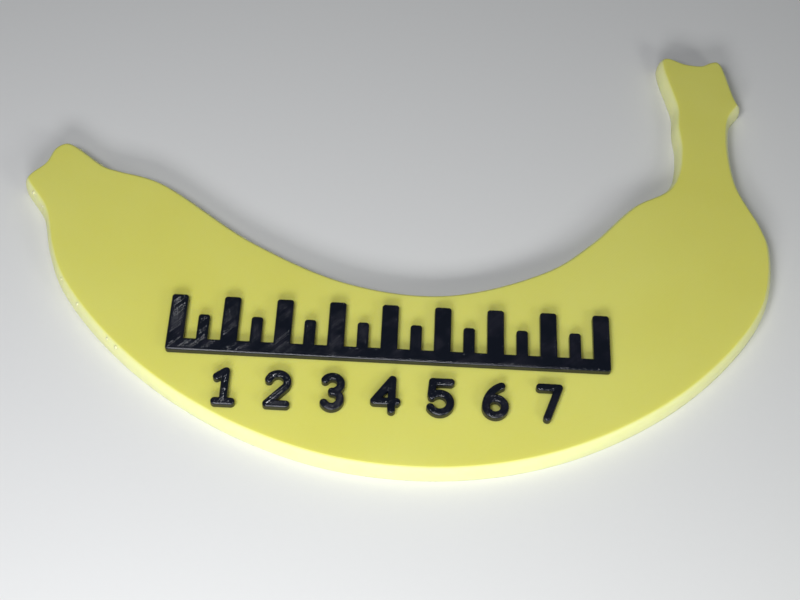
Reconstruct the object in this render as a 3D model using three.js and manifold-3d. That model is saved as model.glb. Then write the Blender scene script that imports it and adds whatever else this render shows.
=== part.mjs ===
// A flat printed plaque in the outline of a banana, with a raised centimetre scale on its upper face.
// Millimetres, +Z up through the scale. +X runs along the scale, +Y towards the stalk end.
// The origin is on the flat underside, at the middle of the outline's box.
import * as THREE from 'three';
import { mergeVertices } from 'three/addons/utils/BufferGeometryUtils.js';
import Module from 'manifold-3d';

const wasm = await Module();
wasm.setup();

// The plate. Its upper edge rounds over by EDGE_REACH inwards and EDGE_RISE down.
const PLATE_THICKNESS = 4;
const EDGE_REACH = 1.2;
const EDGE_RISE = 3.2;
const EDGE_STEPS = 5;
const OUTLINE_STEP = 1.3;

// The relief: a centimetre scale of eight divisions, and its numerals
const RELIEF_HEIGHT = 1.4;
const DIVISION = 10;
const DIVISIONS = 8;
const SCALE_BASE_Y = -29.5;
const BAR_HEIGHT = 2.6;
const LONG_TICK = { width: 3.2, height: 12.2 };
const SHORT_TICK = { width: 2.2, height: 8 };
const TICK_CORNER = 0.6;
const NUMERAL_HEIGHT = 7.8;
const NUMERAL_WIDTH = 5;
const NUMERAL_STROKE = 1.5;
const NUMERAL_BASE_Y = -40.5;
const CORNER_SEGMENTS = 2;
const STROKE_SEGMENTS = 10;

// The outline starts and ends at the knob's sharp corner, and a smooth curve runs through the rest.
const OUTLINE_POINTS = {
  knobSide: [[72.4, 38.2], [71.5, 40.8], [70, 47.9]],
  knobEnd: [[69.4, 49.9], [68.2, 51.1], [66.1, 50.6], [64.7, 49.8], [61.2, 50], [57.9, 51.4], [56.3, 51.2], [55.4, 50]],
  stalkInside: [[55.5, 47.2], [57, 40.5], [57.8, 36.6], [57.6, 31.2], [57.9, 25.8], [56.8, 18.8], [54.6, 15]],
  innerCurve: [[48.1, 10.9], [38.7, 0.8], [30.1, -6.1], [10.8, -12.9], [-7.7, -11.5], [-27.1, -3.2], [-47.8, 10.6]],
  tip: [[-56.5, 13], [-59.1, 13.8], [-67.8, 19.4], [-70.5, 17.8], [-72, 13.8], [-74.2, 11.3], [-75.1, 9.3]],
  belly: [
    [-70.1, 1.6], [-67.4, -7.1], [-64.1, -14.3], [-55, -25.5], [-42.1, -36.3], [-25.9, -45.1],
    [-7, -50.5], [15.6, -50.7], [36.9, -44.7], [57.8, -31.3], [72.4, -13], [75, 1.4],
  ],
  stalkOutside: [[73.9, 6.6], [69.6, 17.9], [69.7, 33.6]],
};

const yellowPlastic = new THREE.MeshStandardMaterial({ color: '#c8c669', roughness: 0.38, metalness: 0 });
const blackPlastic = new THREE.MeshStandardMaterial({ color: '#15181f', roughness: 0.25, metalness: 0 });

// The closed outline as points about OUTLINE_STEP apart, counter-clockwise from the knob's corner.
function outlinePoints() {
  const corners = Object.values(OUTLINE_POINTS).flat();
  const stations = [...corners, corners[0]].map(([x, y]) => new THREE.Vector3(x, y, 0));
  const curve = new THREE.CatmullRomCurve3(stations, false, 'centripetal');
  const points = [];
  for (let i = 0; i + 1 < stations.length; i += 1) {
    const span = stations[i].distanceTo(stations[i + 1]);
    const steps = Math.max(2, Math.ceil(span / OUTLINE_STEP));
    for (let step = 0; step < steps; step += 1) {
      const at = curve.getPoint((i + step / steps) / (stations.length - 1));
      points.push(new THREE.Vector2(at.x, at.y));
    }
  }
  return THREE.ShapeUtils.isClockWise(points) ? points.reverse() : points;
}

// The same outline moved inwards by a distance, each point along the mitre of its two edges.
function inset(outline, distance) {
  return outline.map((point, i) => {
    const before = outline[(i + outline.length - 1) % outline.length];
    const after = outline[(i + 1) % outline.length];
    const edgeIn = point.clone().sub(before).normalize();
    const edgeOut = after.clone().sub(point).normalize();
    const normalIn = new THREE.Vector2(-edgeIn.y, edgeIn.x);
    const normalOut = new THREE.Vector2(-edgeOut.y, edgeOut.x);
    const mitre = normalIn.clone().add(normalOut).divideScalar(1 + normalIn.dot(normalOut));
    return point.clone().addScaledVector(mitre, distance);
  });
}

// A plate with a square lower edge, and an upper edge that rounds over as a quarter of an ellipse.
function roundedPlate(outline) {
  const rings = [{ points: outline, z: 0 }];
  for (let step = 0; step <= EDGE_STEPS; step += 1) {
    const angle = (step / EDGE_STEPS) * (Math.PI / 2);
    rings.push({
      points: inset(outline, EDGE_REACH * (1 - Math.cos(angle))),
      z: PLATE_THICKNESS - EDGE_RISE * (1 - Math.sin(angle)),
    });
  }
  const positions = rings.flatMap((ring) => ring.points.flatMap((point) => [point.x, point.y, ring.z]));
  const count = outline.length;
  const triangles = [];
  for (let ring = 0; ring + 1 < rings.length; ring += 1) {
    for (let i = 0; i < count; i += 1) {
      const low = ring * count + i;
      const lowNext = ring * count + ((i + 1) % count);
      triangles.push(low, lowNext, lowNext + count);
      triangles.push(low, lowNext + count, low + count);
    }
  }
  const top = (rings.length - 1) * count;
  for (const [a, b, c] of THREE.ShapeUtils.triangulateShape(rings[0].points, [])) {
    triangles.push(c, b, a);
  }
  for (const [a, b, c] of THREE.ShapeUtils.triangulateShape(rings.at(-1).points, [])) {
    triangles.push(top + a, top + b, top + c);
  }
  const geometry = new THREE.BufferGeometry();
  geometry.setAttribute('position', new THREE.Float32BufferAttribute(positions, 3));
  geometry.setIndex(triangles);
  return geometry;
}

// A closed geometry as a solid that can be joined.
function solidOf(geometry) {
  const bare = geometry.clone();
  bare.deleteAttribute('normal');
  bare.deleteAttribute('uv');
  const merged = mergeVertices(bare);
  const mesh = new wasm.Mesh({
    numProp: 3,
    vertProperties: new Float32Array(merged.attributes.position.array),
    triVerts: new Uint32Array(merged.index.array),
  });
  return new wasm.Manifold(mesh);
}

// Flat shapes raised from the plate's upper face and joined into one piece.
function raisedPiece(shapes, curveSegments) {
  const solids = shapes.map((shape) => {
    const raised = new THREE.ExtrudeGeometry(shape, {
      depth: RELIEF_HEIGHT,
      bevelEnabled: false,
      curveSegments,
    });
    return solidOf(raised);
  });
  const joined = solids.reduce((whole, solid) => whole.add(solid)).getMesh();
  const geometry = new THREE.BufferGeometry();
  geometry.setAttribute('position', new THREE.Float32BufferAttribute(joined.vertProperties, 3));
  geometry.setIndex(Array.from(joined.triVerts));
  return geometry;
}

// The baseline bar and its ticks in one outline: a long tick each centimetre, a short one between.
function scaleComb() {
  const quarter = Math.PI / 2;
  const end = (DIVISIONS * DIVISION + LONG_TICK.width) / 2;
  const barTop = SCALE_BASE_Y + BAR_HEIGHT;
  const cornerY = SCALE_BASE_Y + TICK_CORNER;
  const shape = new THREE.Shape();
  shape.absarc(-end + TICK_CORNER, cornerY, TICK_CORNER, 2 * quarter, 3 * quarter, false);
  shape.absarc(end - TICK_CORNER, cornerY, TICK_CORNER, -quarter, 0, false);
  for (let half = 2 * DIVISIONS; half >= 0; half -= 1) {
    const tick = half % 2 === 0 ? LONG_TICK : SHORT_TICK;
    const x = (half / 2 - DIVISIONS / 2) * DIVISION;
    const left = x - tick.width / 2;
    const right = x + tick.width / 2;
    const topY = SCALE_BASE_Y + tick.height - TICK_CORNER;
    if (half < 2 * DIVISIONS) {
      shape.lineTo(right, barTop);
    }
    shape.absarc(right - TICK_CORNER, topY, TICK_CORNER, 0, quarter, false);
    shape.absarc(left + TICK_CORNER, topY, TICK_CORNER, quarter, 2 * quarter, false);
    if (half > 0) {
      shape.lineTo(left, barTop);
    }
  }
  return raisedPiece([shape], CORNER_SEGMENTS);
}

// One straight stroke with round ends.
function lineStroke([x1, y1], [x2, y2]) {
  const along = Math.atan2(y2 - y1, x2 - x1);
  const quarter = Math.PI / 2;
  const shape = new THREE.Shape();
  shape.absarc(x2, y2, NUMERAL_STROKE / 2, along - quarter, along + quarter, false);
  shape.absarc(x1, y1, NUMERAL_STROKE / 2, along + quarter, along + 3 * quarter, false);
  return shape;
}

// One curved stroke with round ends, counter-clockwise from one angle to another, in degrees.
function arcStroke([x, y], radius, fromDegrees, toDegrees) {
  const from = THREE.MathUtils.degToRad(fromDegrees);
  const to = THREE.MathUtils.degToRad(toDegrees);
  const half = NUMERAL_STROKE / 2;
  const shape = new THREE.Shape();
  shape.absarc(x, y, radius + half, from, to, false);
  shape.absarc(x + radius * Math.cos(to), y + radius * Math.sin(to), half, to, to + Math.PI, false);
  shape.absarc(x, y, radius - half, to, from, true);
  shape.absarc(x + radius * Math.cos(from), y + radius * Math.sin(from), half, from + Math.PI, from + 2 * Math.PI, false);
  return shape;
}

// The strokes of each numeral, from its own middle x and the bottom of its centre line.
function numeralStrokes() {
  const side = (NUMERAL_WIDTH - NUMERAL_STROKE) / 2;
  const top = NUMERAL_HEIGHT - NUMERAL_STROKE;
  const bowl = top / 4;
  const fiveBowl = 1.95;
  const fourBarY = 1.7;
  const sixBack = 4.7;
  return {
    1: [
      lineStroke([0.3, 0], [0.3, top]),
      lineStroke([0.3, top], [-1.3, top - 1.2]),
      lineStroke([-1.2, 0], [side, 0]),
    ],
    2: [
      arcStroke([0, top - side], side, -30, 165),
      lineStroke([side * 0.866, top - side * 1.5], [-side, 0]),
      lineStroke([-side, 0], [side, 0]),
    ],
    3: [
      arcStroke([0, 3 * bowl], bowl, -90, 150),
      arcStroke([0, bowl], bowl, -150, 90),
    ],
    4: [
      lineStroke([1, 0], [1, top]),
      lineStroke([1, top], [-2.2, fourBarY]),
      lineStroke([-2.2, fourBarY], [1.9, fourBarY]),
    ],
    5: [
      lineStroke([side, top], [-side + 0.2, top]),
      lineStroke([-side + 0.2, top], [-side, top - 2.6]),
      arcStroke([-0.2, fiveBowl], fiveBowl, -150, 138),
    ],
    6: [
      arcStroke([0, side], side, 0, 359),
      arcStroke([sixBack - side, side], sixBack, 113, 180),
    ],
    7: [
      lineStroke([-side, top], [side, top]),
      lineStroke([side, top], [-0.5, 0]),
    ],
  };
}

function addPiece(parent, name, geometry, material, x, y, z) {
  const piece = new THREE.Mesh(geometry, material);
  piece.name = name;
  piece.position.set(x, y, z);
  parent.add(piece);
}

const plaque = new THREE.Group();
addPiece(plaque, 'plate', roundedPlate(outlinePoints()), yellowPlastic, 0, 0, 0);
addPiece(plaque, 'scale_comb', scaleComb(), blackPlastic, 0, 0, PLATE_THICKNESS);
for (const [digit, strokes] of Object.entries(numeralStrokes())) {
  const x = (Number(digit) - DIVISIONS / 2) * DIVISION;
  const y = NUMERAL_BASE_Y + NUMERAL_STROKE / 2;
  addPiece(plaque, `numeral_${digit}`, raisedPiece(strokes, STROKE_SEGMENTS), blackPlastic, x, y, PLATE_THICKNESS);
}

export default plaque;
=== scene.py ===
"""The looks of a flat printed plaque: a banana outline with a raised centimetre scale, in two plastics."""

import math

import bpy
import numpy as np
from bpy.props import FloatProperty, FloatVectorProperty, PointerProperty
from mathutils import Matrix, Vector
from mathutils.geometry import tessellate_polygon


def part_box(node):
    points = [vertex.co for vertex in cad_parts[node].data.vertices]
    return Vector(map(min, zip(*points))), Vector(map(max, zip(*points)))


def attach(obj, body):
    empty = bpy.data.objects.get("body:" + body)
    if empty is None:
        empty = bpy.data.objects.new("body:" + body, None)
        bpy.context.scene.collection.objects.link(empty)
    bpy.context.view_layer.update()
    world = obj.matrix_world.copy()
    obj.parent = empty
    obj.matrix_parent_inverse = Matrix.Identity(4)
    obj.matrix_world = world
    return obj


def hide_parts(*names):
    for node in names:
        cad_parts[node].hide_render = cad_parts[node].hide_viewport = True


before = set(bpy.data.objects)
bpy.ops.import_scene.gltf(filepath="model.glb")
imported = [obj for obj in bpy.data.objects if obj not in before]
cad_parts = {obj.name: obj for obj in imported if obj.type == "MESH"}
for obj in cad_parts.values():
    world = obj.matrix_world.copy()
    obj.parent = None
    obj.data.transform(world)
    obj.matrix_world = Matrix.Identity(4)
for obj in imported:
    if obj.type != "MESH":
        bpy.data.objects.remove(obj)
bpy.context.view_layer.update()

bl_info = {
    "name": "Printed Banana Plaque",
    "version": (1, 0, 0),
    "blender": (4, 5, 0),
    "location": "3D View > Sidebar > Plaque",
    "description": "Builds the printed plate, its raised centimetre scale and the stage around them",
    "category": "Object",
}

MM = 0.001
ROOT = "root"

# The plate's outline, in millimetres, counter-clockwise from the knob's sharp corner
OUTLINE_POINTS = {
    "knob_side": [(72.4, 38.2), (71.5, 40.8), (70, 47.9)],
    "knob_end": [
        (69.4, 49.9), (68.2, 51.1), (66.1, 50.6), (64.7, 49.8),
        (61.2, 50), (57.9, 51.4), (56.3, 51.2), (55.4, 50),
    ],
    "stalk_inside": [
        (55.5, 47.2), (57, 40.5), (57.8, 36.6), (57.6, 31.2), (57.9, 25.8), (56.8, 18.8), (54.6, 15),
    ],
    "inner_curve": [
        (48.1, 10.9), (38.7, 0.8), (30.1, -6.1), (10.8, -12.9), (-7.7, -11.5), (-27.1, -3.2), (-47.8, 10.6),
    ],
    "tip": [
        (-56.5, 13), (-59.1, 13.8), (-67.8, 19.4), (-70.5, 17.8), (-72, 13.8), (-74.2, 11.3), (-75.1, 9.3),
    ],
    "belly": [
        (-70.1, 1.6), (-67.4, -7.1), (-64.1, -14.3), (-55, -25.5), (-42.1, -36.3), (-25.9, -45.1),
        (-7, -50.5), (15.6, -50.7), (36.9, -44.7), (57.8, -31.3), (72.4, -13), (75, 1.4),
    ],
    "stalk_outside": [(73.9, 6.6), (69.6, 17.9), (69.7, 33.6)],
}
OUTLINE_STEP = 1.3 * MM
OUTLINE_SPLIT = 3
EDGE_REACH = 1.2 * MM
EDGE_RISE = 3.2 * MM
EDGE_SAMPLE = 0.05 * MM
CAP_BORDER = 0.05 * MM

# Small nibs where the nozzle left the rim, in millimetres: x, y and radius. Each is a low dome, set on the
# rounded edge at one angle up from the wall
NIBS = [
    (-73.1, 6.3, 0.42), (-70.3, 3.0, 0.28), (-65.3, 17.3, 0.3), (-61.5, 15.2, 0.24), (-60.5, 14.0, 0.36),
    (-64.2, -14.0, 0.3), (-60.1, -20.4, 0.36), (-53.9, -27.3, 0.36), (-51.3, -29.8, 0.42),
    (-40.2, 5.2, 0.3), (-36.9, 2.7, 0.26), (-29.4, -2.9, 0.26), (-23.8, -5.9, 0.28),
]
NIB_HEIGHT_SHARE = 0.55
NIB_RIM_ANGLE = math.radians(52)
NIB_RINGS = 4
NIB_SIDES = 12

# The scale: a long tick each centimetre and a short one between, on a baseline bar
DIVISION = 10 * MM
DIVISIONS = 8
BAR_HEIGHT = 2.6 * MM
LONG_TICK = (3.2 * MM, 12.2 * MM)
SHORT_TICK = (2.2 * MM, 8 * MM)
TICK_CORNER = 0.6 * MM
TICK_FOOT = 0.8 * MM
NUMERAL_HEIGHT = 7.8 * MM
NUMERAL_WIDTH = 5 * MM
NUMERAL_STROKE = 1.5 * MM
ARC_STEP = math.radians(9)

# The print's grid: the direction of its lines across the plaque, and how finely lines and layers are divided
RASTER_ANGLE = math.radians(45)
LINE_SPLIT = 5
LAYER_SPLIT = 4
ALONG_STEP = 0.2 * MM
SNAP_ROUNDS = 3
SLOPE_STEP = 0.01 * MM
LEAST_SLOPE = 0.2
FOOT_SINK = 0.05 * MM

# The relief's uneven lines: each has its own groove depth, as a share of the usual one, its own height,
# and two waves along it, whose phases come from the line's own draw
LEAST_FULLNESS = 0.25
FULLNESS_SPAN = 1.25
HEIGHT_SHARE = 1.2
SLOW_WAVE = 1.9 * MM
SLOW_SHARE = 0.5
SLOW_PHASE = 40
QUICK_WAVE = 0.6 * MM
QUICK_SHARE = 0.35
QUICK_PHASE = 90
SEED_FREQUENCY = 12.9898
SEED_STRETCH = 43758.5453
SECOND_DRAW = 0.5

# The plate's colour and fine unevenness in its material: how much of its mottling is broad cloud and not
# grain, and the heights of its bumps and the other plastics', in millimetres
CLOUD_SHARE = 0.8
LINE_BUMP = 0.004
GRAIN_BUMP = 0.004
CLOUD_BUMP = 0.25
NIB_BUMP = 0.03
BLACK_BUMP = 0.003

# The camera, from the photograph's perspective: a 36 mm wide sensor and its axes in the plaque's frame
SENSOR_WIDTH = 36
LENS = 63
CAMERA_PLACE = (-0.02 * MM, -160.02 * MM, 230.43 * MM)
CAMERA_TARGET = (1.66 * MM, -15.33 * MM, 4 * MM)
CAMERA_RIGHT = (0.99864, 0.04028, 0.03315)
CAMERA_NEAR = 10 * MM

# The stage, in metres and watts: each light's place, size, power and tint, all aimed at one point
LIGHTS = {
    "front_light": ((-0.03, -0.26, 0.12), (0.14, 0.06), 0.44, (0.97, 0.98, 1.0)),
    "right_light": ((0.20, -0.22, 0.13), (0.08, 0.06), 0.19, (0.97, 1.0, 0.95)),
    "high_light": ((-0.10, -0.14, 0.26), (0.10, 0.10), 0.38, (0.96, 0.97, 1.0)),
    "spot_light": ((0.07, 0.04, 0.50), (0.025, 0.025), 0.20, (0.97, 0.98, 1.0)),
}
LIGHT_AIM = (0.0, -0.01, 0.003)
SKY_TINT = (0.85, 0.90, 1.0, 1)
SKY_STRENGTH = 0.06
FLOOR_HALF = 1.5
FLOOR_SHADE = 0.985


def length(name, description, default):
    """A length property in metres."""
    return FloatProperty(name=name, description=description, default=default, unit="LENGTH", precision=6)


def colour(name, description, default):
    """A linear colour property."""
    return FloatVectorProperty(
        name=name, description=description, default=default, subtype="COLOR", size=3, min=0, max=1,
    )


class PlaqueSizes(bpy.types.PropertyGroup):
    """Sizes of the print's own texture."""

    layer: length("Layer", "Height of one printed layer", 0.2 * MM)
    line: length("Line", "Width of one printed line", 0.445 * MM)
    layer_groove: length("Layer groove", "Depth of the groove between two layers", 0.022 * MM)
    line_groove: length("Line groove", "Usual depth of the groove between two lines of the relief", 0.1 * MM)
    wander: length("Wander", "How far a line of the relief strays up and down", 0.02 * MM)
    relief_round: length("Relief round", "Radius of the relief's upper edge", 0.24 * MM)


class PlaqueColours(bpy.types.PropertyGroup):
    """Colours of the two plastics and of the stage."""

    yellow: colour("Yellow", "The plate's plastic", (0.80, 0.78, 0.18))
    yellow_deep: colour("Deep yellow", "Where the plate's plastic is denser", (0.78, 0.75, 0.15))
    # Painted highlight: this paler colour on the wall and rounded edge paints the light that falls on them.
    painted_rim_light: colour(
        "Edge yellow", "Where the plate's wall and rounded edge scatter the light", (0.86, 0.87, 0.42),
    )
    # Painted highlight: the nibs' pale colour paints the glints that catch on them.
    nib: colour("Nib", "Stretched plastic of the nibs on the rim", (0.95, 0.95, 0.80))
    black: colour("Black", "The relief's plastic", (0.005, 0.007, 0.013))
    black_bloom: colour("Bloom", "The relief's plastic where it is duller", (0.009, 0.010, 0.018))
    floor: colour("Floor", "The plain floor", (0.80, 0.80, 0.79))


class Value:
    """A shader socket with arithmetic: an expression on values adds its Math nodes."""

    def __init__(self, shader, socket):
        self.shader = shader
        self.socket = socket

    def maths(self, operation, *others):
        """The result of one Math node that takes this value first."""
        return self.shader.maths(operation, self, *others)

    def __add__(self, other):
        return self.maths("ADD", other)

    def __radd__(self, other):
        return self.maths("ADD", other)

    def __sub__(self, other):
        return self.maths("SUBTRACT", other)

    def __rsub__(self, other):
        return self.shader.maths("SUBTRACT", other, self)

    def __mul__(self, other):
        return self.maths("MULTIPLY", other)

    def __rmul__(self, other):
        return self.maths("MULTIPLY", other)


class Shader:
    """One node material under construction."""

    def __init__(self, name):
        self.material = bpy.data.materials.new(name)
        self.material.use_nodes = True
        self.tree = self.material.node_tree
        self.tree.nodes.clear()

    def node(self, kind, settings=None, inputs=None, output=0):
        """Adds a node, sets its settings, fills its sockets and returns one output as a Value."""
        made = self.tree.nodes.new(kind)
        for key, setting in (settings or {}).items():
            if key == "stops":
                self.set_stops(made.color_ramp, setting)
            else:
                setattr(made, key, setting)
        for key, given in (inputs or {}).items():
            if isinstance(given, Value):
                self.tree.links.new(given.socket, made.inputs[key])
            else:
                made.inputs[key].default_value = given
        return Value(self, made.outputs[output]) if made.outputs else None

    @staticmethod
    def set_stops(ramp, stops):
        """Gives a new ramp its stops, each a position and a grey."""
        while len(ramp.elements) < len(stops):
            ramp.elements.new(1)
        for element, (position, grey) in zip(ramp.elements, stops):
            element.position = position
            element.color = (grey, grey, grey, 1)

    def maths(self, operation, *values):
        """The result of one Math node."""
        return self.node("ShaderNodeMath", {"operation": operation}, dict(enumerate(values)))

    def place(self):
        """Object coordinates in millimetres."""
        coordinates = self.node("ShaderNodeTexCoord", output="Object")
        return self.node(
            "ShaderNodeVectorMath", {"operation": "SCALE"}, {0: coordinates, "Scale": 1 / MM},
        )

    def noise(self, place, scale, detail=2, roughness=0.5):
        """Noise of that many patches per millimetre, about 0 to 1."""
        return self.node(
            "ShaderNodeTexNoise", {"noise_dimensions": "3D"},
            {"Vector": place, "Scale": scale, "Detail": detail, "Roughness": roughness},
        )

    def ramp(self, factor, stops):
        """The grey that a ramp gives at a factor."""
        return self.node("ShaderNodeValToRGB", {"stops": stops}, {"Fac": factor})

    def blend(self, factor, first, second):
        """One colour turning into another."""
        return self.node(
            "ShaderNodeMix", {"data_type": "RGBA"},
            {0: factor, 6: self.rgba(first), 7: self.rgba(second)}, output=2,
        )

    @staticmethod
    def rgba(tint):
        """A colour as a Mix node takes it."""
        return tint if isinstance(tint, Value) else (*tint, 1)

    def bump(self, height):
        """Unevenness from heights in millimetres."""
        return self.node("ShaderNodeBump", None, {"Height": height, "Distance": MM, "Strength": 1})

    def surface(self, **sockets):
        """Ends the material with one Principled shader. Underscores stand for spaces in socket names."""
        inputs = {key.replace("_", " "): given for key, given in sockets.items()}
        principled = self.node("ShaderNodeBsdfPrincipled", None, inputs)
        self.node("ShaderNodeOutputMaterial", None, {"Surface": principled})
        return self.material


def yellow_plastic(colours, sizes):
    """Satin, slightly translucent plastic: faint lines on its flat faces, and a painted highlight that makes
    it paler where it turns down, for the light falling on its wall and rounded edge.
    """
    shader = Shader("printed_yellow")
    place = shader.place()
    cloud = shader.noise(place, scale=0.035)
    grain = shader.noise(place, scale=1.7, detail=3, roughness=0.6)
    tone = shader.ramp(cloud * CLOUD_SHARE + grain * (1 - CLOUD_SHARE), [(0.34, 0), (0.66, 1)])
    facing = shader.node("ShaderNodeNewGeometry", output="Normal")
    flatness = shader.node("ShaderNodeSeparateXYZ", None, {0: facing}, output="Z")
    flat_mask = shader.ramp(flatness * flatness, [(0.9, 0), (0.99, 1)])
    across = shader.node(
        "ShaderNodeVectorMath", {"operation": "DOT_PRODUCT"},
        {0: place, 1: (-math.sin(RASTER_ANGLE), math.cos(RASTER_ANGLE), 0)}, output="Value",
    )
    lines = shader.maths("SINE", across * (2 * math.pi * MM / sizes.line))
    height = lines * flat_mask * LINE_BUMP + grain * GRAIN_BUMP + cloud * CLOUD_BUMP
    # Painted highlight: the wall and rounded edge turn paler here, painting the light that falls on them.
    painted_rim_light_mask = 1 - shader.ramp(flatness * flatness, [(0.35, 0), (0.97, 1)])
    face = shader.blend(tone, colours.yellow_deep, colours.yellow)
    return shader.surface(
        Base_Color=shader.blend(painted_rim_light_mask, face, colours.painted_rim_light),
        Roughness=0.42 + grain * 0.14,
        Normal=shader.bump(height),
        Subsurface_Weight=0.5,
        Subsurface_Radius=(1.0, 0.9, 0.4),
        Subsurface_Scale=2.0 * MM,
        IOR=1.46,
        Specular_IOR_Level=0.5,
    )


def nib_plastic(colours):
    """The same plastic, painted pale: a painted highlight for the glints on the nibs."""
    shader = Shader("nib_glint_yellow")
    grain = shader.noise(shader.place(), scale=6)
    # Painted highlight: the pale colour blended in paints the nibs' glints.
    return shader.surface(
        Base_Color=shader.blend(grain, colours.yellow, colours.nib),
        Roughness=0.12 + grain * 0.1,
        Normal=shader.bump(grain * NIB_BUMP),
        Subsurface_Weight=0.4,
        Subsurface_Radius=(1.0, 0.9, 0.5),
        Subsurface_Scale=0.6 * MM,
    )


def black_plastic(colours):
    """Glossy black plastic with a fine grain, duller in patches."""
    shader = Shader("printed_black")
    place = shader.place()
    patches = shader.ramp(shader.noise(place, scale=0.22, roughness=0.55), [(0.46, 0), (0.62, 1)])
    grain = shader.noise(place, scale=4.5, detail=3, roughness=0.6)
    return shader.surface(
        Base_Color=shader.blend(patches, colours.black, colours.black_bloom),
        Roughness=0.10 + patches * 0.12 + grain * 0.04,
        Normal=shader.bump(grain * BLACK_BUMP),
        IOR=1.5,
    )


def floor_paint(colours):
    """Plain matt paint."""
    shader = Shader("floor_paint")
    grain = shader.noise(shader.place(), scale=0.9)
    shade = [channel * FLOOR_SHADE for channel in colours.floor]
    return shader.surface(
        Base_Color=shader.blend(grain, shade, colours.floor),
        Roughness=0.72 + grain * 0.06,
    )


def material(name, make, *settings):
    """The named material, made the first time it is asked for."""
    return bpy.data.materials.get(name) or make(*settings)


def add_mesh(name, points, faces, finish, flat_faces=()):
    """A smooth mesh object at the origin from points and faces. The listed faces stay flat."""
    mesh = bpy.data.meshes.new(name)
    mesh.from_pydata(points, [], faces)
    smooth = np.ones(len(mesh.polygons), dtype=bool)
    smooth[list(flat_faces)] = False
    mesh.polygons.foreach_set("use_smooth", smooth)
    mesh.materials.append(finish)
    mesh.update()
    piece = bpy.data.objects.new(name, mesh)
    bpy.context.scene.collection.objects.link(piece)
    return piece


def curve_through(stations, splits):
    """Points on a centripetal curve through stations and back to the first, which may be a sharp corner."""
    stations = np.vstack([stations, stations[:1]])
    before = 2 * stations[0] - stations[1]
    after = 2 * stations[-1] - stations[-2]
    stations = np.vstack([before, stations, after])
    points = []
    for p0, p1, p2, p3, split in zip(stations, stations[1:], stations[2:], stations[3:], splits):
        gap0, gap1, gap2 = (math.sqrt(math.dist(a, b)) for a, b in ((p0, p1), (p1, p2), (p2, p3)))
        start = ((p1 - p0) / gap0 - (p2 - p0) / (gap0 + gap1) + (p2 - p1) / gap1) * gap1
        end = ((p2 - p1) / gap1 - (p3 - p1) / (gap1 + gap2) + (p3 - p2) / gap2) * gap1
        t = (np.arange(split) / split)[:, None]
        square = 3 * (p2 - p1) - 2 * start - end
        cube = 2 * (p1 - p2) + start + end
        points.append(p1 + start * t + square * t ** 2 + cube * t ** 3)
    return np.vstack(points)


def outline_points():
    """The closed outline as an array of points about OUTLINE_STEP apart."""
    stations = np.array([corner for stretch in OUTLINE_POINTS.values() for corner in stretch]) * MM
    spans = np.linalg.norm(np.roll(stations, -1, axis=0) - stations, axis=1)
    return curve_through(stations, [max(2, math.ceil(span / OUTLINE_STEP)) for span in spans])


def outward(outline):
    """The mitred outward direction at each point of a counter-clockwise outline."""
    edge_in = outline - np.roll(outline, 1, axis=0)
    edge_out = np.roll(outline, -1, axis=0) - outline
    edge_in /= np.linalg.norm(edge_in, axis=1)[:, None]
    edge_out /= np.linalg.norm(edge_out, axis=1)[:, None]
    normals = np.stack([edge_in[:, 1] + edge_out[:, 1], -edge_in[:, 0] - edge_out[:, 0]], axis=1)
    return normals / (1 + (edge_in * edge_out).sum(axis=1))[:, None]


def groove(share, depth):
    """How deep a printed bead's surface lies, at a share of its width: nothing at its crest."""
    return depth * (2 * (share % 1) - 1) ** 2


def rim_profile(top, sizes):
    """Pairs of inset and height up the plate's wall and over its rounded edge, with a groove per layer."""
    straight = top - EDGE_RISE
    profile = []
    for step in range(round(straight / EDGE_SAMPLE)):
        height = step * EDGE_SAMPLE
        profile.append((groove(height / sizes.layer, sizes.layer_groove), height))
    turns = math.ceil(math.hypot(EDGE_REACH, EDGE_RISE) / EDGE_SAMPLE)
    for turn in range(turns + 1):
        angle = math.pi / 2 * turn / turns
        inset = EDGE_REACH * (1 - math.cos(angle))
        height = straight + EDGE_RISE * math.sin(angle)
        away = Vector((EDGE_RISE * math.cos(angle), EDGE_REACH * math.sin(angle))).normalized()
        depth = groove(height / sizes.layer, sizes.layer_groove) * math.cos(angle)
        profile.append((inset + depth * away.x, height - depth * away.y))
    profile.append((EDGE_REACH + CAP_BORDER, top))
    return profile


def plate_mesh(sizes):
    """The plate's points, faces and the indices of its two flat caps' faces."""
    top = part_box("plate")[1][2]
    outline = outline_points()
    normals = outward(outline)
    splits = [OUTLINE_SPLIT] * len(outline)
    count = OUTLINE_SPLIT * len(outline)
    rings = [
        np.column_stack([curve_through(outline - normals * inset, splits), np.full(count, height)])
        for inset, height in rim_profile(top, sizes)
    ]
    faces = []
    for ring in range(len(rings) - 1):
        low = ring * count
        for i in range(count):
            after = (i + 1) % count
            faces.append((low + i, low + after, low + count + after, low + count + i))
    walls = len(faces)
    last = (len(rings) - 1) * count
    for ring, start, reverse in ((rings[0], 0, True), (rings[-1], last, False)):
        for triangle in tessellate_polygon([[Vector(point) for point in ring]]):
            first, second, third = (ring[corner, :2] for corner in triangle)
            area = np.cross(second - first, third - first)
            a, b, c = (start + corner for corner in triangle)
            faces.append((a, b, c) if (area > 0) != reverse else (a, c, b))
    return np.vstack(rings), faces, range(walls, len(faces))


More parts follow.
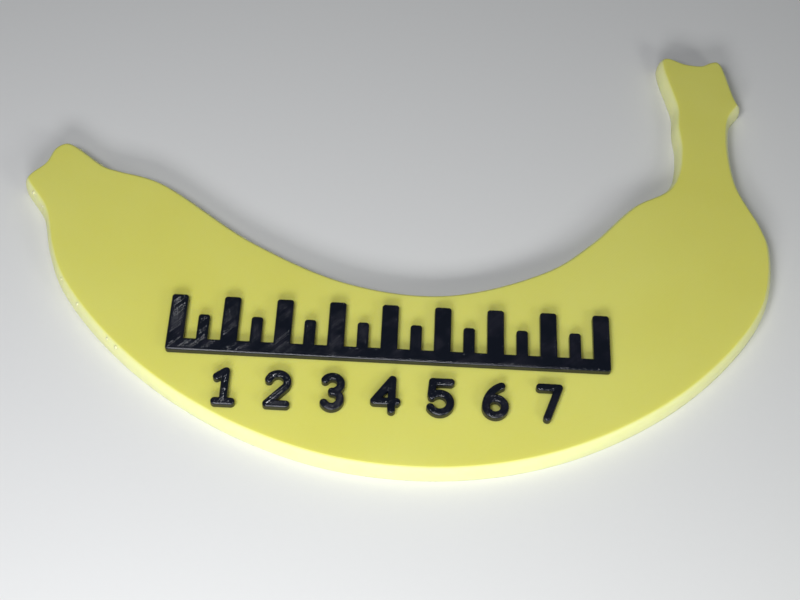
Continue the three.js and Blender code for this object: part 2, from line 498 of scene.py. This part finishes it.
def nib_mesh():
    """Points and faces of all the nibs: small low domes, sunk halfway into the rounded edge."""
    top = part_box("plate")[1][2]
    outline = outline_points()
    normals = outward(outline)
    points = []
    faces = []
    for x, y, radius in NIBS:
        nearest = np.argmin(((outline - np.array([x, y]) * MM) ** 2).sum(axis=1))
        side = normals[nearest] / np.linalg.norm(normals[nearest])
        inwards = side * EDGE_REACH * (1 - math.cos(NIB_RIM_ANGLE))
        centre = Vector((*(outline[nearest] - inwards), top - EDGE_RISE * (1 - math.sin(NIB_RIM_ANGLE))))
        lean = Vector((
            *(side * EDGE_RISE * math.cos(NIB_RIM_ANGLE)), EDGE_REACH * math.sin(NIB_RIM_ANGLE),
        )).normalized()
        turn = lean.to_track_quat("Z", "Y").to_matrix()
        first = len(points)
        for ring in range(NIB_RINGS + 1):
            polar = math.pi * ring / NIB_RINGS
            for i in range(NIB_SIDES if 0 < ring < NIB_RINGS else 1):
                around = 2 * math.pi * i / NIB_SIDES
                local = Vector((
                    math.sin(polar) * math.cos(around), math.sin(polar) * math.sin(around),
                    math.cos(polar) * NIB_HEIGHT_SHARE,
                ))
                points.append(centre + turn @ local * radius * MM)
        lowest = len(points) - 1
        for i in range(NIB_SIDES):
            after = (i + 1) % NIB_SIDES
            faces.append((first, first + 1 + i, first + 1 + after))
            for ring in range(NIB_RINGS - 2):
                here = first + 1 + ring * NIB_SIDES
                below = here + NIB_SIDES
                faces.append((here + i, below + i, below + after, here + after))
            belt = first + 1 + (NIB_RINGS - 2) * NIB_SIDES
            faces.append((belt + after, belt + i, lowest))
    return points, faces


def box_depth(x, y, low, high, corner):
    """How deep points lie inside a rectangle with round corners, negative outside it."""
    middle_x, middle_y = (low[0] + high[0]) / 2, (low[1] + high[1]) / 2
    over_x = np.abs(x - middle_x) - (high[0] - low[0]) / 2 + corner
    over_y = np.abs(y - middle_y) - (high[1] - low[1]) / 2 + corner
    outside = np.hypot(np.maximum(over_x, 0), np.maximum(over_y, 0))
    return corner - outside - np.minimum(np.maximum(over_x, over_y), 0)


def comb_depth(x, y):
    """How deep points lie inside the scale's bar and ticks."""
    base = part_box("scale_comb")[0][1]
    end = (DIVISIONS * DIVISION + LONG_TICK[0]) / 2
    depth = box_depth(x, y, (-end, base), (end, base + BAR_HEIGHT), TICK_CORNER)
    for half in range(2 * DIVISIONS + 1):
        width, height = SHORT_TICK if half % 2 else LONG_TICK
        middle = (half / 2 - DIVISIONS / 2) * DIVISION
        tick = box_depth(
            x, y, (middle - width / 2, base + TICK_FOOT), (middle + width / 2, base + height), TICK_CORNER,
        )
        depth = np.maximum(depth, tick)
    return depth


def arc(x, y, radius, start, end):
    """Points in millimetres along an arc, counter-clockwise between two angles in degrees."""
    sweep = math.radians(end - start)
    steps = math.ceil(sweep / ARC_STEP)
    angles = [math.radians(start) + sweep * step / steps for step in range(steps + 1)]
    return [(x + radius * math.cos(angle), y + radius * math.sin(angle)) for angle in angles]


def numeral_strokes():
    """The centre lines of each numeral in millimetres, from its own middle x and its lowest centre line."""
    side = (NUMERAL_WIDTH - NUMERAL_STROKE) / 2 / MM
    top = (NUMERAL_HEIGHT - NUMERAL_STROKE) / MM
    bowl = top / 4
    two_bend = (side * 0.866, top - side * 1.5)
    four_bar = 1.7
    five_bowl = 1.95
    six_back = 4.7
    return {
        1: [[(0.3, 0), (0.3, top)], [(0.3, top), (-1.3, top - 1.2)], [(-1.2, 0), (side, 0)]],
        2: [
            arc(0, top - side, side, -30, 165),
            [two_bend, (-side, 0)],
            [(-side, 0), (side, 0)],
        ],
        3: [arc(0, 3 * bowl, bowl, -90, 150), arc(0, bowl, bowl, -150, 90)],
        4: [[(1, 0), (1, top)], [(1, top), (-2.2, four_bar)], [(-2.2, four_bar), (1.9, four_bar)]],
        5: [
            [(side, top), (0.2 - side, top)],
            [(0.2 - side, top), (-side, top - 2.6)],
            arc(-0.2, five_bowl, five_bowl, -150, 138),
        ],
        6: [arc(0, side, side, 0, 360), arc(six_back - side, side, six_back, 113, 180)],
        7: [[(-side, top), (side, top)], [(side, top), (-0.5, 0)]],
    }


def stroke_depth(strokes, origin):
    """A function of x and y that says how deep points lie inside round-ended strokes."""
    segments = [
        (np.array(a) * MM + origin, np.array(b) * MM + origin)
        for stroke in strokes
        for a, b in zip(stroke, stroke[1:])
    ]

    def depth(x, y):
        nearest = np.full(x.shape, np.inf)
        for start, end in segments:
            run = end - start
            along = ((x - start[0]) * run[0] + (y - start[1]) * run[1]) / (run @ run)
            along = np.clip(along, 0, 1)
            gap = np.hypot(x - start[0] - along * run[0], y - start[1] - along * run[1])
            nearest = np.minimum(nearest, gap)
        return NUMERAL_STROKE / 2 - nearest

    return depth


def line_seed(number):
    """A steady draw between 0 and 1 for each printed line's number."""
    return np.abs(np.sin(number * SEED_FREQUENCY) * SEED_STRETCH) % 1


def stray(along, line_number, sizes):
    """How far each printed line strays up or down: a little all along, and wavering as it goes."""
    seed = line_seed(line_number)
    slow = np.sin(along / SLOW_WAVE + seed * SLOW_PHASE)
    quick = np.sin(along / QUICK_WAVE + seed * QUICK_PHASE + line_number)
    return sizes.wander * (HEIGHT_SHARE * (seed - 0.5) + SLOW_SHARE * slow + QUICK_SHARE * quick)


def relief_top(depth, along, across, top, sizes):
    """Heights of the relief's upper face: one line round the edge, then lines side by side."""
    border = depth < sizes.line
    share = np.where(border, depth / sizes.line, across / sizes.line)
    number = np.where(border, 0, np.floor(across / sizes.line))
    fullness = LEAST_FULLNESS + FULLNESS_SPAN * line_seed(number + SECOND_DRAW) ** 2
    height = top - groove(share, sizes.line_groove * fullness) + stray(along, number, sizes)
    short = np.clip(sizes.relief_round - depth, 0, sizes.relief_round)
    return height - sizes.relief_round + np.sqrt(sizes.relief_round ** 2 - short ** 2)


def relief_grid(low, high, depth_at, sizes):
    """A grid along the printed lines, as x and y of its points, and which of its cells lie in the piece."""
    cos, sin = math.cos(RASTER_ANGLE), math.sin(RASTER_ANGLE)
    corners = [(x, y) for x in (low[0], high[0]) for y in (low[1], high[1])]
    alongs = [x * cos + y * sin for x, y in corners]
    acrosses = [y * cos - x * sin for x, y in corners]
    across_step = sizes.line / LINE_SPLIT
    along = np.arange(min(alongs) - ALONG_STEP, max(alongs) + 2 * ALONG_STEP, ALONG_STEP)
    across = np.arange(min(acrosses) - across_step, max(acrosses) + 2 * across_step, across_step)
    middle_u, middle_v = np.meshgrid(
        along[:-1] + ALONG_STEP / 2, across[:-1] + across_step / 2, indexing="ij",
    )
    kept = depth_at(middle_u * cos - middle_v * sin, middle_u * sin + middle_v * cos) > 0
    grid_u, grid_v = np.meshgrid(along, across, indexing="ij")
    return grid_u * cos - grid_v * sin, grid_u * sin + grid_v * cos, kept


def snap_to_outline(x, y, edge, depth_at):
    """Moves the edge points onto the piece's outline, and returns each point's inward direction there."""
    slope_x = np.zeros(x.shape)
    slope_y = np.zeros(x.shape)
    for _ in range(SNAP_ROUNDS):
        px, py = x[edge], y[edge]
        dx = (depth_at(px + SLOPE_STEP, py) - depth_at(px - SLOPE_STEP, py)) / (2 * SLOPE_STEP)
        dy = (depth_at(px, py + SLOPE_STEP) - depth_at(px, py - SLOPE_STEP)) / (2 * SLOPE_STEP)
        size = np.maximum(np.hypot(dx, dy), LEAST_SLOPE)
        gap = depth_at(px, py)
        x[edge] -= gap * dx / size ** 2
        y[edge] -= gap * dy / size ** 2
        slope_x[edge], slope_y[edge] = dx / size, dy / size
    return slope_x, slope_y


def open_edges(faces):
    """The directed sides of four-cornered faces that no other face shares."""
    sides = np.concatenate([faces[:, [i, (i + 1) % 4]] for i in range(4)])
    known = set(map(tuple, sides.tolist()))
    return np.array([(a, b) for a, b in sides.tolist() if (b, a) not in known])


def relief_wall(points, faces, inwards, foot, top, sizes):
    """Points and faces of the layered wall that hangs from the upper face's open edge."""
    rim = open_edges(faces)
    above, local = np.unique(rim, return_inverse=True)
    local = local.reshape(rim.shape)
    base = points[above, :2]
    away = -inwards[above]
    shoulder = top - sizes.relief_round - sizes.line_groove
    steps = round((shoulder - foot) / sizes.layer * LAYER_SPLIT)
    rings = []
    walls = []
    start = len(points)
    for step in range(1, steps + 1):
        height = shoulder + (foot - shoulder) * step / steps
        push = sizes.layer_groove / 2 - groove((top - height) / sizes.layer, sizes.layer_groove)
        rings.append(np.column_stack([base + away * push, np.full(len(base), height)]))
        below = start + np.arange(len(base))
        corners = [above[local[:, 0]], below[local[:, 0]], below[local[:, 1]], above[local[:, 1]]]
        walls.append(np.stack(corners, axis=1))
        above = below
        start += len(base)
    return np.vstack(rings), np.vstack(walls)


def relief_mesh(node, depth_at, sizes):
    """Points and faces of one raised piece: a fine grid along its printed lines, and a layered wall."""
    low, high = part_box(node)
    x, y, kept = relief_grid(low, high, depth_at, sizes)
    cells_around = np.zeros(x.shape, dtype=int)
    for i in (0, 1):
        for j in (0, 1):
            cells_around[i:x.shape[0] - 1 + i, j:x.shape[1] - 1 + j] += kept
    used = cells_around > 0
    edge = used & (cells_around < 4)
    slope_x, slope_y = snap_to_outline(x, y, edge, depth_at)

    index = np.full(x.shape, -1)
    index[used] = np.arange(used.sum())
    at = np.argwhere(kept)
    corners = [index[at[:, 0] + i, at[:, 1] + j] for i, j in ((0, 0), (1, 0), (1, 1), (0, 1))]
    faces = np.stack(corners, axis=1)

    x, y = x[used], y[used]
    depth = np.maximum(depth_at(x, y), 0)
    depth[edge[used]] = 0
    cos, sin = math.cos(RASTER_ANGLE), math.sin(RASTER_ANGLE)
    heights = relief_top(depth, x * cos + y * sin, y * cos - x * sin, high[2], sizes)
    points = np.column_stack([x, y, heights])
    inwards = np.column_stack([slope_x[used], slope_y[used]])
    wall_points, wall_faces = relief_wall(points, faces, inwards, low[2] - FOOT_SINK, high[2], sizes)
    return np.vstack([points, wall_points]), np.vstack([faces, wall_faces]).tolist()


def add_relief(name, node, depth_at, scene):
    """One raised piece in black plastic, standing for its CAD node."""
    points, faces = relief_mesh(node, depth_at, scene.plaque_sizes)
    finish = material("printed_black", black_plastic, scene.plaque_colours)
    piece = add_mesh(name, points, faces, finish)
    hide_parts(node)
    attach(piece, ROOT)


def add_light(name, place, size, power, tint):
    """A soft rectangular light aimed at the plaque."""
    light = bpy.data.lights.new(name, "AREA")
    light.shape = "RECTANGLE"
    light.size, light.size_y = size
    light.energy = power
    light.color = tint
    lamp = bpy.data.objects.new(name, light)
    lamp.location = place
    lamp.rotation_euler = (Vector(LIGHT_AIM) - Vector(place)).to_track_quat("-Z", "Y").to_euler()
    bpy.context.scene.collection.objects.link(lamp)


class PLAQUE_OT_plate(bpy.types.Operator):
    """Builds the yellow plate with its layered wall and rounded edge"""

    bl_idname = "plaque.plate"
    bl_label = "Plate"

    def execute(self, context):
        sizes = context.scene.plaque_sizes
        colours = context.scene.plaque_colours
        finish = material("printed_yellow", yellow_plastic, colours, sizes)
        points, faces, caps = plate_mesh(sizes)
        plate = add_mesh("printed_plate", points, faces, finish, caps)
        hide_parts("plate")
        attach(plate, ROOT)
        return {"FINISHED"}


class PLAQUE_OT_rim_nibs(bpy.types.Operator):
    """Builds the small pale nibs on the plate's rim"""

    bl_idname = "plaque.rim_nibs"
    bl_label = "Rim Nibs"

    def execute(self, context):
        finish = material("nib_glint_yellow", nib_plastic, context.scene.plaque_colours)
        nibs = add_mesh("rim_nibs", *nib_mesh(), finish)
        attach(nibs, ROOT)
        return {"FINISHED"}


class PLAQUE_OT_scale_comb(bpy.types.Operator):
    """Builds the raised bar and ticks of the centimetre scale"""

    bl_idname = "plaque.scale_comb"
    bl_label = "Scale Bar and Ticks"

    def execute(self, context):
        add_relief("printed_scale", "scale_comb", comb_depth, context.scene)
        return {"FINISHED"}


class PLAQUE_OT_numerals(bpy.types.Operator):
    """Builds the raised numerals under the centimetre scale"""

    bl_idname = "plaque.numerals"
    bl_label = "Numerals"

    def execute(self, context):
        for digit, strokes in numeral_strokes().items():
            node = f"numeral_{digit}"
            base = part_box(node)[0][1] + NUMERAL_STROKE / 2
            origin = np.array([(digit - DIVISIONS / 2) * DIVISION, base])
            add_relief(f"printed_numeral_{digit}", node, stroke_depth(strokes, origin), context.scene)
        return {"FINISHED"}


class PLAQUE_OT_stage(bpy.types.Operator):
    """Builds the floor, the lights and the camera"""

    bl_idname = "plaque.stage"
    bl_label = "Stage"

    def execute(self, context):
        scene = context.scene
        self.add_floor(scene)
        self.add_lights(scene)
        self.add_camera(scene)
        return {"FINISHED"}

    def add_floor(self, scene):
        finish = material("floor_paint", floor_paint, scene.plaque_colours)
        corners = [(x * FLOOR_HALF, y * FLOOR_HALF, 0) for x, y in ((-1, -1), (1, -1), (1, 1), (-1, 1))]
        floor = add_mesh("floor", corners, [(0, 1, 2, 3)], finish)

    def add_lights(self, scene):
        world = bpy.data.worlds.new("studio")
        world.use_nodes = True
        background = world.node_tree.nodes["Background"]
        background.inputs["Color"].default_value = SKY_TINT
        background.inputs["Strength"].default_value = SKY_STRENGTH
        scene.world = world
        scene.view_settings.view_transform = "Standard"
        for name, (place, size, power, tint) in LIGHTS.items():
            add_light(name, place, size, power, tint)

    def add_camera(self, scene):
        camera_data = bpy.data.cameras.new("camera")
        camera_data.sensor_width = SENSOR_WIDTH
        camera_data.lens = LENS
        camera_data.clip_start = CAMERA_NEAR
        camera = bpy.data.objects.new("camera", camera_data)
        place = Vector(CAMERA_PLACE)
        back = (place - Vector(CAMERA_TARGET)).normalized()
        right = Vector(CAMERA_RIGHT)
        up = back.cross(right).normalized()
        right = up.cross(back)
        turn = Matrix((right, up, back)).transposed().to_4x4()
        camera.matrix_world = Matrix.Translation(place) @ turn
        scene.collection.objects.link(camera)
        scene.camera = camera


class PLAQUE_PT_panel(bpy.types.Panel):
    """Lists the plaque's sizes, colours and pieces"""

    bl_label = "Printed Plaque"
    bl_idname = "PLAQUE_PT_panel"
    bl_space_type = "VIEW_3D"
    bl_region_type = "UI"
    bl_category = "Plaque"

    def draw(self, context):
        for group in (context.scene.plaque_sizes, context.scene.plaque_colours):
            for name in group.__annotations__:
                self.layout.prop(group, name)
        for operator in PIECES:
            self.layout.operator(operator.bl_idname)


PIECES = (PLAQUE_OT_plate, PLAQUE_OT_rim_nibs, PLAQUE_OT_scale_comb, PLAQUE_OT_numerals, PLAQUE_OT_stage)
CLASSES = (PlaqueSizes, PlaqueColours, *PIECES, PLAQUE_PT_panel)


def register():
    for cls in CLASSES:
        bpy.utils.register_class(cls)
    bpy.types.Scene.plaque_sizes = PointerProperty(type=PlaqueSizes)
    bpy.types.Scene.plaque_colours = PointerProperty(type=PlaqueColours)


def unregister():
    del bpy.types.Scene.plaque_colours
    del bpy.types.Scene.plaque_sizes
    for cls in reversed(CLASSES):
        bpy.utils.unregister_class(cls)


def main():
    register()
    bpy.ops.plaque.plate()
    bpy.ops.plaque.rim_nibs()
    bpy.ops.plaque.scale_comb()
    bpy.ops.plaque.numerals()
    bpy.ops.plaque.stage()


if __name__ == "__main__":
    main()
